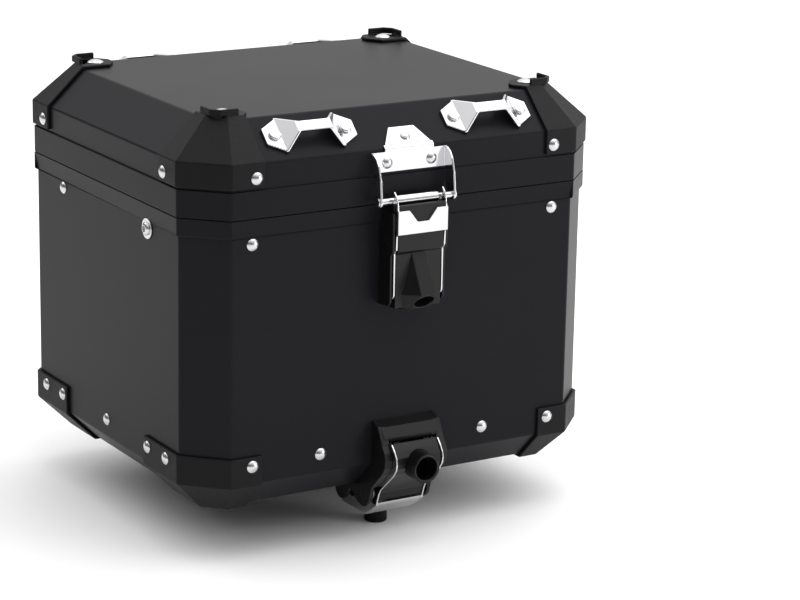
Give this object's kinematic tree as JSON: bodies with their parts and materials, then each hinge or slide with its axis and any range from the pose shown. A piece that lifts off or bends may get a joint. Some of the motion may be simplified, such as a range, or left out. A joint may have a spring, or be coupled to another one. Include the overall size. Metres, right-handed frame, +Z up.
{
  "type": "motorcycle top case",
  "caption": "Octagonal aluminium luggage box with riveted corner guards, rear-hinged lid, tie-down handles, front pull latch and a quick-release lock below.",
  "frame": {"origin": "centre of the rack's four bolt holes, in the underside of the base plate", "axes": "+Z up; +X to the right seen from the latch; the latch faces -Y and the hinges are at +Y"},
  "size_m": [0.418, 0.4056, 0.391],
  "materials": {
    "powder_coat": "matt black powder coat",
    "frame_black": "matt black frame",
    "guard_plastic": "fine grained moulded plastic",
    "latch_black": "satin black moulding",
    "polished_steel": "polished stainless steel",
    "rivet_steel": "bright rivet heads",
    "zinc": "zinc plated steel",
    "buffer_rubber": "matt black rubber",
    "seal_rubber": "soft black seal"
  },
  "bodies": {
    "case": {"case_shell": "powder_coat", "case_rim": "frame_black", "base_plate": "frame_black", "base_bolts": "zinc", "base_guard_front_left": "guard_plastic", "base_guard_front_right": "guard_plastic", "base_guard_rear_left": "guard_plastic", "base_guard_rear_right": "guard_plastic", "case_rivets": "rivet_steel", "stay_screws": "rivet_steel", "case_hinge_left": "polished_steel", "case_hinge_right": "polished_steel", "case_hinge_rivets": "rivet_steel", "hinge_pins": "zinc", "latch_base": "latch_black", "latch_base_rivets": "rivet_steel", "lever_pin": "latch_black", "lock_housing": "latch_black", "lock_bracket": "polished_steel", "lock_screws": "zinc", "release_pin": "latch_black", "hook_pin": "latch_black", "release_spring": "latch_black", "buffer_studs": "zinc", "rubber_buffers": "buffer_rubber", "rear_hooks": "polished_steel"},
    "lid": {"lid_shell": "powder_coat", "lid_rim": "frame_black", "lid_seal": "seal_rubber", "lid_guard_front_left": "guard_plastic", "lid_guard_front_right": "guard_plastic", "lid_guard_rear_left": "guard_plastic", "lid_guard_rear_right": "guard_plastic", "guard_bolts": "rivet_steel", "lid_rivets": "rivet_steel", "tie_handle_front_left": "polished_steel", "tie_handle_front_right": "polished_steel", "tie_handle_rear_left": "polished_steel", "tie_handle_rear_right": "polished_steel", "handle_bolts": "rivet_steel", "handle_nuts": "zinc", "keeper_plate": "polished_steel", "keeper_rivets": "rivet_steel", "keeper_rod": "polished_steel", "lid_hinge_left": "polished_steel", "lid_hinge_right": "polished_steel", "lid_hinge_rivets": "rivet_steel"},
    "roller": {"keeper_roller": "polished_steel"},
    "lever": {"latch_lever": "latch_black"},
    "hook": {"latch_hook": "polished_steel", "hook_cover": "latch_black", "link_pin": "latch_black"},
    "release": {"release_lever": "latch_black", "lock_tube": "latch_black"},
    "claw": {"release_hook": "polished_steel"}
  },
  "joints": [
    {"name": "lid_hinge", "type": "hinge", "parent": "case", "child": "lid", "pos_m": [0, 0.185, 0.2653], "axis": [-1, 0, 0], "range_deg": [0, 100]},
    {"name": "roller_spin", "type": "hinge", "parent": "lid", "child": "roller", "pos_m": [0, -0.189, 0.27], "axis": [1, 0, 0], "continuous": true},
    {"name": "lever_pull", "type": "hinge", "parent": "case", "child": "lever", "pos_m": [0, -0.189, 0.234], "axis": [-1, 0, 0], "range_deg": [0, 100]},
    {"name": "hook_link", "type": "hinge", "parent": "lever", "child": "hook", "pos_m": [0, -0.186, 0.206], "axis": [1, 0, 0], "range_deg": [0, 111]},
    {"name": "release_pull", "type": "hinge", "parent": "case", "child": "release", "pos_m": [0, -0.187, 0.0505], "axis": [-1, 0, 0], "range_deg": [0, 25], "stiffness_Nm_per_rad": 0.2, "springref_deg": -20.05},
    {"name": "claw_turn", "type": "hinge", "parent": "case", "child": "claw", "pos_m": [0, -0.158, 0], "axis": [-1, 0, 0], "range_deg": [0, 32.5]}
  ],
  "couplings": [
    {"joint": "hook_link", "follows": "lever_pull", "ratio": 1.1},
    {"joint": "claw_turn", "follows": "release_pull", "ratio": 1.3}
  ]
}
